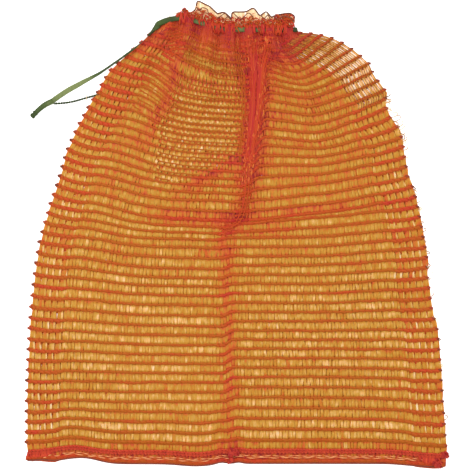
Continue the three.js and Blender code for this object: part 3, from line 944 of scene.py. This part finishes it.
rng = np.random.default_rng(FOLD_SEED)
fold_rows = Bundle()
crossing(fold_rows, PLEAT_FOLD, 5.0, rng, tone=0.65, lift=0.6)
gathered(fold_rows, PLEAT_FOLD, PLEAT_STRANDS, rng, tone=0.8, wide=0.4)
crossing(fold_rows, PLEAT_END, 4.5, rng, tone=0.5, lift=0.3)
gathered(fold_rows, PLEAT_END, END_STRANDS, rng, tone=0.6, wide=0.35)
crossing(fold_rows, NECK_ROWS, 3.2, rng, tone=0.6, lift=0.45)
for below in NECK_LINES:
    x = np.linspace(*(NECK_LONG if below < NECK_SHORT_FROM else NECK_SHORT))
    y = string_y(x) - below + 0.7 * np.sin(x / 5.0 + below) + 0.5 * np.sin(x / 2.3)
    line = np.stack([x, y, cloth_at(x, y) + 0.5], -1)
    yarn, _ = loops(line, round(run_of(line)[-1] / NECK_STITCH), rng, swing=0.9, wander=0.5)
    shade = 1.0 - 0.02 * below - 0.25 * (1 - swell(yarn[:, 0], -30.0, 0.0))
    fold_rows.lay(yarn, NECK_WIDE, NECK_THICK, sides=4, tone=shade)
fold_chains = fold_rows.piece("fold_chains", net_red)
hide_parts("net_sack")

# The tapes at the neck: the golden film of the drawn-in cloth, crowded into a fan of narrow strips that hang
# from the string and look deep red where they fold over each other. Short flecks of the same film show
# between the chains of the pleat.
NECK_GATHERS = 210
NECK_SPAN = (-72.0, 57.0)
NECK_MIDDLE = -5.0
NECK_FOLDS = [(-37.0, 6.0), (-7.0, 5.0), (32.0, 24.0)]
FAN_THICK = 0.25
PLEAT_FLECKS = 420
FLECK_SPAN = (268.0, 408.0)

gathered_film = film("gathered_film", NET_GOLDS[:4], roughness=0.5, through=0.3, streak=150.0, depth=0.3)
neck_strips = Bundle()
for x in np.linspace(*NECK_SPAN, NECK_GATHERS):
    aside = x - NECK_MIDDLE
    drop = rng.uniform(20.0, 34.0) * (1 - 0.5 * swell(abs(aside), 40.0, 66.0))
    down = np.linspace(0, 1, 4)
    fan_x = x + rng.normal(0, 0.8) * (abs(aside) < 62.0) + 0.2 * aside * down * drop / 25.0
    fan_y = string_y(x) + swell(x, -72.0, -62.0) - drop * down
    folded = max(bell(x - place, width) for place, width in NECK_FOLDS)
    shade = 0.02 - 0.06 * folded + rng.normal(0, 0.06) + (0.8 - 0.55 * folded) * down
    on_top = cloth_at(fan_x, fan_y) + 0.6 - 1.6 * down
    upper = np.stack([fan_x, fan_y, on_top], -1)
    neck_strips.lay(upper, rng.uniform(0.9, 1.7), FAN_THICK, sides=4, roll=rng.normal(0, 0.3), tone=shade)
    under = np.full(4, 1.6 + rng.uniform(0, 0.4))
    lower = np.stack([fan_x, fan_y, under], -1)
    neck_strips.lay(lower, rng.uniform(2.2, 3.0), FAN_THICK, sides=4, roll=rng.normal(0, 0.15), tone=shade)
pleat_upward = np.array(PLEAT_FOLD)[::-1]
for _ in range(PLEAT_FLECKS):
    y = rng.uniform(*FLECK_SPAN)
    middle, half = (np.interp(y, pleat_upward[:, 1], pleat_upward[:, axis]) for axis in (0, 2))
    x = middle + half * np.clip(rng.normal(0, 0.6), -1.2, 1.2)
    fleck_x = x + rng.normal(0, 0.5, 3).cumsum()
    fleck_y = y + np.array((-1.0, 0.0, 1.0)) * rng.uniform(1.0, 2.6)
    height = cloth_at(fleck_x, fleck_y) + rng.uniform(0.6, 1.2)
    fleck = np.stack([fleck_x, fleck_y, height], -1)
    wide = rng.uniform(0.3, 0.7)
    neck_strips.lay(fleck, wide, thick=0.2, sides=4, roll=rng.normal(0, 0.3), tone=rng.uniform(0, 0.75))
neck_tapes = neck_strips.piece("neck_tapes", gathered_film, smooth=False)
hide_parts("net_sack")

# The seam of the hem: both layers sewn together by an overlock machine, two close chains of red thread with
# a looping cover thread over them. Threads reach down over the hem at both corners, and are bunched into
# knots at the right corner and in the middle, each given by its middle, its turns and its spread.
SEAM_ROWS = (-1.15, 1.15)
SEAM_COVER = 2.6
SEAM_STITCH = 3.6
SEAM_WIDE = 0.95
SEAM_THICK = 0.5
HEM_KNOTS = [
    ((193.5, 0.8, 2.6), 14, (1.6, 1.4)), ((200.0, 8.5, 2.6), 10, (1.4, 1.0)),
    ((-1.5, 11.0, 4.6), 22, (3.0, 1.4)), ((-3.6, 4.0, 4.0), 6, (0.8, 1.2)),
]
RED_ENDS = [(-198.0, -167.0), (176.0, 196.0)]
SEAM_STEP = 2.6
SEAM_LIFT = 0.9
SEAM_REDS = [(152, 28, 34), (206, 66, 38), (228, 108, 60)]

red_thread = film("red_thread", SEAM_REDS, roughness=0.5, through=0.12, streak=80.0)
seam_threads = Bundle()
seam_u = np.linspace(0.006, 0.994, 600)
seam_middle = front(seam_u, row_share(0))
cover_run = run_of(seam_middle)
seam_stitches = round(cover_run[-1] / SEAM_STITCH)
for offset in SEAM_ROWS:
    line = seam_middle + (0.0, offset, SEAM_LIFT * 0.4)
    yarn, _ = loops(line, seam_stitches, rng, swing=0.55, wander=0.12)
    seam_threads.lay(yarn, SEAM_WIDE, SEAM_THICK, sides=4, tone=0.5 + rng.normal(0, 0.05))
cover_at = np.arange(0, cover_run[-1], SEAM_STEP / 4)
cover = np.stack([np.interp(cover_at, cover_run, seam_middle[:, axis]) for axis in range(3)], -1)
cover[:, 1] += SEAM_COVER * np.sin(2 * math.pi * cover_at / SEAM_STEP)
cover[:, 2] += SEAM_LIFT + 0.3 * np.cos(4 * math.pi * cover_at / SEAM_STEP)
seam_threads.lay(cover, wide=0.55, thick=0.4, sides=4, tone=0.4)
for middle, turns, spread in HEM_KNOTS:
    for n in range(turns):
        angle = np.linspace(0, 2 * math.pi * rng.uniform(0.8, 1.3), 14)
        size = rng.uniform(0.9, 2.2)
        ring_x = size * np.cos(angle + n)
        ring_y = size * 1.2 * np.sin(angle)
        ring = np.stack([ring_x, ring_y, 0.8 * np.sin(2 * angle + n)], -1)
        ring = ring + middle + np.clip(rng.normal(0, 1.0, 3), -1.5, 1.5) * (*spread, 0.3)
        seam_threads.lay(ring, wide=0.9, thick=0.6, roll=0.3, tone=0.05 + rng.uniform(0, 0.3))
strip_y = (row_share(0) - row_share(HEM_ROW)) * SIDE_LENGTH
for x in np.concatenate([np.arange(*end, 1.1) for end in RED_ENDS]):
    away = np.linspace(0, 1, 6)
    at_seam = np.array([np.interp(x, seam_middle[:, 0], seam_middle[:, axis]) for axis in range(3)])
    reach = strip_y * (1 - 0.35 * swell(-x, 168.0, 188.0)) * swell(abs(x), 165.0, 185.0)
    line = at_seam + np.stack([rng.normal(0, 0.6) * away, -max(reach, 1.5) * away, 0.4 - 0.8 * away**2], -1)
    roll = rng.normal(0, 0.2)
    seam_threads.lay(line, wide=1.0, thick=0.4, sides=5, roll=roll, tone=rng.uniform(0.25, 0.65))
hem_stitches = seam_threads.piece("hem_stitches", red_thread)
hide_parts("hem_seam")

# The pale thread of the hem: a second thread of the overlock seam, in a paler orange, in two lines below the
# red chains. It shows as dashes, because it goes in and out of the cloth from stitch to stitch, with painted
# shade where it dips in.
PALE_REDS = [(216, 110, 58), (242, 164, 106)]
PALE_LINES = ((-4.6, 7.0), (-6.2, 11.0))
PALE_WAVE = 17.0
PALE_SWAY = 23.0
PALE_LOWEST = 0.5

pale_thread = film("pale_thread", PALE_REDS, roughness=0.45, through=0.2, streak=90.0)
dash_threads = Bundle()
for offset, length in PALE_LINES:
    dash = seam_middle[::2] + (0.0, offset, 0.0)
    dash_run = run_of(dash) + rng.uniform(0, 10)
    in_and_out = np.sin(2 * math.pi * dash_run / length)
    dash[:, 2] += 0.1 + 0.8 * in_and_out + 0.4 * np.sin(2 * math.pi * dash_run / PALE_WAVE)
    dash[:, 1] += 0.35 * np.sin(2 * math.pi * dash_run / PALE_SWAY)
    dash[:, 2] -= 1.2 * (1 - swell(dash[:, 0], -168.0, -160.0)) + 1.2 * swell(dash[:, 0], 170.0, 178.0)
    dash[:, 2] = np.maximum(dash[:, 2], PALE_LOWEST)
    # Painted shade: the thread is made darker where it dips into the cloth and paler where it stands out of
    # it.
    dash_threads.lay(dash, wide=0.55, thick=0.35, sides=5, tone=0.5 + 0.4 * in_and_out)
hem_dashes = dash_threads.piece("hem_pale_thread", pale_thread)
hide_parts("hem_seam")

# The drawstring at the mouth: the same green tape, threaded through the meshes all round. In front it
# shows where it passes over the cloth and hides where the gathered meshes pass over it.
STRING_ENDS = (-73.6, 56.0)
STRING_SHOWN = [(-72.0, -52.0), (-46.0, -27.0), (-0.5, 12.0), (19.0, 24.0), (30.0, 35.5), (50.0, 57.0)]
STRING_LEAD = [(-82.5, 409.4, 5.2), (-78.4, 413.9, 4.9), (-75.6, 417.6, 4.9)]
STRING_WIDE = 4.6
STRING_THICK = 0.45
STRING_FRONT = 8.6
STRING_BACK = 1.6

string_x = np.linspace(*STRING_ENDS, 90)
string_z = STRING_FRONT + 0.3 * np.sin(string_x / 4.0) - 3.2 * (1 - swell(string_x, -74.0, -66.0))
string_z = string_z - 1.0 * swell(string_x, -52.0, -44.0)
front_run = np.stack([string_x, string_y(string_x) - 0.4, string_z], -1)
front_run = np.vstack([curve_through(STRING_LEAD + [front_run[0]], 4)[:-1], front_run])
turn = np.linspace(0, math.pi, 9)[1:-1]
turn_middle = (STRING_FRONT + STRING_BACK) / 2
turn_half = (STRING_FRONT - STRING_BACK) / 2
turn_x = STRING_ENDS[1] + turn_half * np.sin(turn)
turn_y = np.full(len(turn), front_run[-1, 1])
round_end = np.stack([turn_x, turn_y, turn_middle + turn_half * np.cos(turn)], -1)
back_run = front_run[::-1] * (1, 1, 0) + (0, 0, STRING_BACK)
mouth_path = np.vstack([front_run, round_end, back_run])
mouth_tone = 0.32 + 0.26 * swell(mouth_path[:, 0], -50.0, -40.0) + 0.12 * np.sin(mouth_path[:, 0] / 3.0)
mouth_tone = mouth_tone - 0.5 * swell(mouth_path[:, 0], 42.0, 50.0)
mouth_half = STRING_WIDE / 2 * (1 + 0.25 * (1 - swell(mouth_path[:, 0], -64.0, -50.0)))
mouth_half = mouth_half * (0.4 + 0.6 * swell(mouth_path[:, 0], -83.0, -70.0))
mouth_strands = Bundle()
mouth_roll = 0.2 * np.sin(mouth_path[:, 0] / 6.0)
mouth_strands.lay(mouth_path, mouth_half, STRING_THICK, sides=8, roll=mouth_roll, tone=mouth_tone)
mouth_string = mouth_strands.piece("drawstring_mouth_tape", green_tape)
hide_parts("drawstring_mouth")

# The chains of the frill: the last rows of the cloth, past the string, gathered into crowded red loops.
# Single loops curl out of them, and some pass down over the string. The cut top edge stands up in peaks.
FRILL_EDGE = [
    (-57.0, 426.0), (-54.5, 431.1), (-51.0, 430.0), (-47.9, 435.9), (-45.0, 430.6), (-38.3, 434.0),
    (-36.6, 440.0), (-34.9, 442.2), (-27.3, 438.8), (-23.9, 436.9), (-17.2, 430.7), (-15.0, 431.0),
    (-10.0, 431.3), (-4.8, 426.8), (-3.3, 425.4), (-2.4, 431.6), (4.8, 432.1), (11.0, 432.6),
    (17.7, 435.6), (23.4, 428.9), (26.5, 430.3), (30.1, 432.1), (34.5, 427.3), (37.3, 428.2),
    (43.1, 429.7), (50.7, 430.7), (54.0, 430.0), (56.8, 427.2), (55.2, 421.5),
]
FRILL_SPAN = (-56.0, 56.0)
FRILL_FOOT = 2.0
FRILL_TOP = 8.4
FRILL_LOW = 3.2
FRILL_ROWS = (0.05, 0.3, 0.55)
FRILL_WAVE = 5.6
FRILL_STITCH = 4.2
FRILL_CURLS = 200

edge_line = np.array(FRILL_EDGE)


def frill_top(x):
    """How high the cut edge of the frill stands."""
    return np.interp(x, edge_line[:-1, 0], edge_line[:-1, 1])


def frill_height(share):
    """How high the frill lies over the table, from the string at 0 to its cut edge at 1."""
    return FRILL_TOP + (FRILL_LOW - FRILL_TOP) * share


def in_frill(x, share, lift):
    """A place in the frill, at a share of its height, lifted off it by so much."""
    low = string_y(x) + FRILL_FOOT
    return x, low + share * (frill_top(x) - low), frill_height(share) + lift


frill_rows = Bundle()
for share in FRILL_ROWS:
    x = np.linspace(*FRILL_SPAN, 160)
    low = string_y(x) + 1.5
    phase = rng.uniform(0, 6)
    wave = 1.3 * np.sin(2 * math.pi * x / FRILL_WAVE + phase) * (0.6 + share)
    y = low + share * (frill_top(x) - low) + wave
    z = frill_height(share) + np.sin(2 * math.pi * x / 7.3 + phase)
    line = np.stack([x + 0.8 * np.sin(y), y, z], -1)
    yarn, _ = loops(line, round(run_of(line)[-1] / FRILL_STITCH), rng, swing=0.8, wander=0.3)
    frill_rows.lay(yarn, wide=0.6, thick=0.4, sides=4, tone=0.75 + rng.normal(0, 0.05))
for n in range(FRILL_CURLS):
    x = rng.uniform(-55.0, 55.0) if n % 4 else rng.uniform(34.0, 56.0)
    share = rng.uniform(0.05, 0.95 if x < -40 or x > 35 else 0.5)
    angle = np.linspace(0, rng.uniform(2.0, 4.5), 8) + rng.uniform(0, 6)
    size = rng.uniform(1.0, 2.4)
    curl = np.stack([size * np.cos(angle), size * 1.2 * np.sin(angle), 0.6 * np.sin(2 * angle)], -1)
    curl = curl + in_frill(x, share, lift=0.6)
    wide = rng.uniform(0.3, 0.7)
    frill_rows.lay(curl, wide, thick=0.3, sides=5, roll=rng.normal(0, 0.5), tone=rng.uniform(0.1, 1.0))
shown = np.array(STRING_SHOWN)
for x in np.arange(STRING_ENDS[0] + 2, STRING_ENDS[1], 0.75):
    if not np.any((x > shown[:, 0]) & (x < shown[:, 1])):
        away = np.linspace(-rng.uniform(3.5, 7.0), 5.0, 9)
        y = string_y(x) + away
        z = STRING_FRONT + 0.8 - 0.06 * away**2 + rng.uniform(-0.2, 0.3)
        line = np.stack([x + rng.normal(0, 0.8) + 0.2 * away * rng.normal(), y, z], -1)
        wide = rng.uniform(0.4, 0.9)
        roll = rng.normal(0, 0.3)
        frill_rows.lay(line, wide, thick=0.35, sides=5, roll=roll, tone=rng.uniform(0.5, 1.05))
    elif x > -48.0 and rng.random() < 0.4:
        away = np.linspace(-4.5, 4.5, 9)
        z = STRING_FRONT + 0.9 - 0.05 * away**2
        line = np.stack([x + rng.normal(0, 0.6) + 0.35 * away * rng.normal(), string_y(x) + away, z], -1)
        frill_rows.lay(line, rng.uniform(0.25, 0.5), thick=0.3, sides=5, tone=rng.uniform(0.3, 1.0))
frill_chains = frill_rows.piece("frill_chains", net_red)
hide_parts("net_sack")

# The edge strand of the frill: a thin brown strand drawn through the cut edge, from peak to peak. Short runs
# of it lie further in, where it dips between the loops.
FRILL_BROWNS = [(92, 54, 38), (132, 70, 46)]
FRILL_LINES = [
    [(-37.0, 436.0), (-34.0, 433.0), (-31.0, 435.5), (-26.5, 434.0), (-25.5, 430.0)],
    [(-16.5, 425.5), (-13.0, 428.0), (-9.5, 430.0), (-7.0, 427.0), (-4.0, 424.0)],
    [(-13.0, 422.5), (-9.0, 425.5), (-6.0, 427.5)],
    [(-2.0, 431.0), (2.0, 427.0), (5.5, 424.5), (9.0, 427.5), (13.0, 430.5), (17.0, 427.0)],
    [(24.5, 428.0), (28.0, 425.5), (31.0, 428.5), (33.5, 425.0)],
    [(37.0, 427.0), (41.0, 424.5), (46.0, 427.5), (52.0, 426.0), (56.0, 423.0)],
]

frill_brown = film("frill_brown", FRILL_BROWNS, roughness=0.5, through=0.1, streak=80.0)
frill_edge = Bundle()
edge_run = np.column_stack([edge_line, FRILL_LOW + 0.5 + 0.8 * np.sin(edge_line[:, 0])])
frill_edge.lay(curve_through(edge_run, 4), wide=0.75, thick=0.5, tone=0.3)
for points in FRILL_LINES:
    inner = curve_through(points, 5)
    inner = np.column_stack([inner, np.full(len(inner), FRILL_TOP - 0.6)])
    frill_edge.lay(inner, wide=0.5, thick=0.4, tone=rng.uniform(0.4, 1.0))
frill_strand = frill_edge.piece("frill_edge_strand", frill_brown)
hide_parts("net_sack")

# The tapes of the frill: pale film stretched from the string up to the peaks of the cut edge, red at its
# foot and cream above. Small curled flecks of the same film lie among the loops.
FRILL_PALES = [(200, 70, 48), (247, 214, 166), (254, 242, 216)]
FRILL_STRIP = 1.7
FRILL_FLECKS = 60

frill_pale = film("frill_pale", FRILL_PALES, roughness=0.4, through=0.6, streak=120.0)
frill_strips = Bundle()
for x in np.arange(*FRILL_SPAN, FRILL_STRIP):
    low = string_y(x) - 1.0
    lean = rng.normal(0, 0.5)
    share = np.linspace(0, 1, 5)
    y = low + (max(frill_top(x + lean) - 0.2, low + 2.0) - low) * share
    line = np.stack([x + lean * share, y, frill_height(share) - 0.8], -1)
    pale = swell(x, -43.0, -37.0) * (1 - swell(x, 33.0, 39.0))
    shade = 0.1 + 0.8 * swell(share, 0.15, 0.6) * (0.15 + 0.85 * pale) + rng.normal(0, 0.08)
    frill_strips.lay(line, rng.uniform(1.4, 1.7), thick=0.12, sides=4, roll=rng.normal(0, 0.1), tone=shade)
for _ in range(FRILL_FLECKS):
    x = rng.uniform(-52.0, 56.0)
    share = rng.uniform(0.15, 0.7)
    angle = np.linspace(0, rng.uniform(1.5, 3.0), 6) + rng.uniform(0, 6)
    size = rng.uniform(0.8, 1.8)
    fleck = np.stack([size * np.cos(angle), size * np.sin(angle), 0.3 * np.sin(2 * angle)], -1)
    fleck = fleck + in_frill(x, share, lift=1.3)
    wide = rng.uniform(0.4, 0.7)
    frill_strips.lay(fleck, wide, thick=0.2, sides=4, roll=rng.normal(0, 0.3), tone=rng.uniform(0.1, 0.7))
frill_tapes = frill_strips.piece("frill_tapes", frill_pale, smooth=False)
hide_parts("net_sack")

# Loose ends: a few fine threads of drawn-out tape that stand off the right edge, off the first turn of the
# string and off the left edge by the second strand. They are loops that a needle of the machine let go.
LOOSE_THREADS = [
    [(-64.0, 425.0, 6.5), (-61.5, 428.3, 6.5), (-57.5, 430.3, 6.0), (-53.5, 430.0, 5.5)],
    [(-143.5, 356.5, 1.8), (-141.8, 352.0, 2.8), (-142.2, 347.6, 1.2)],
    [(183.0, 190.4, 3.0), (186.5, 185.0, 3.5), (190.5, 182.4, 3.0), (197.0, 182.2, 1.5)],
]
LOOSE_PLACES = [
    351, 349, 347, 345, 342, 340, 331, 329, 327, 325, 322, 319, 317, 314, 311, 308, 300, 292,
    265, 262, 259, 250, 246, 242, 230, 222, 214, 204, 192, 176, 160, 141, 118, 96, 70, 44,
]
LOOSE_CURL = [(-1.0, 0.0, 0.0), (2.0, 1.0, 0.2), (3.8, 2.6, 0.3), (3.4, 4.6, 0.2), (1.2, 4.4, 0.0)]
LOOSE_COLOURS = [(122, 78, 48), (186, 132, 84), (232, 206, 160)]

loose_film = film("loose_film", LOOSE_COLOURS, roughness=0.5, through=0.1, streak=90.0)
loose_strands = Bundle()
for points in LOOSE_THREADS:
    loose_strands.lay(curve_through(points, 5), wide=0.3, thick=0.25, sides=5, tone=0.9)
for y in LOOSE_PLACES:
    s = np.interp(y, right_side[2], right_side[0])
    size = rng.uniform(0.5, 0.9) + 0.8 * bell(y - 330.0, 25.0)
    sideways = rng.choice((-1, 1)) * rng.uniform(0.5, 1.2)
    curl = front(1.0, s) + np.array(LOOSE_CURL) * size * (1, sideways, 1)
    end = curve_through(curl[:rng.integers(3, 6)], 5)
    loose_strands.lay(end, rng.uniform(0.35, 0.5), thick=0.35, sides=5, tone=rng.uniform(0, 0.9))
loose_ends = loose_strands.piece("loose_threads", loose_film)
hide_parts("net_sack")
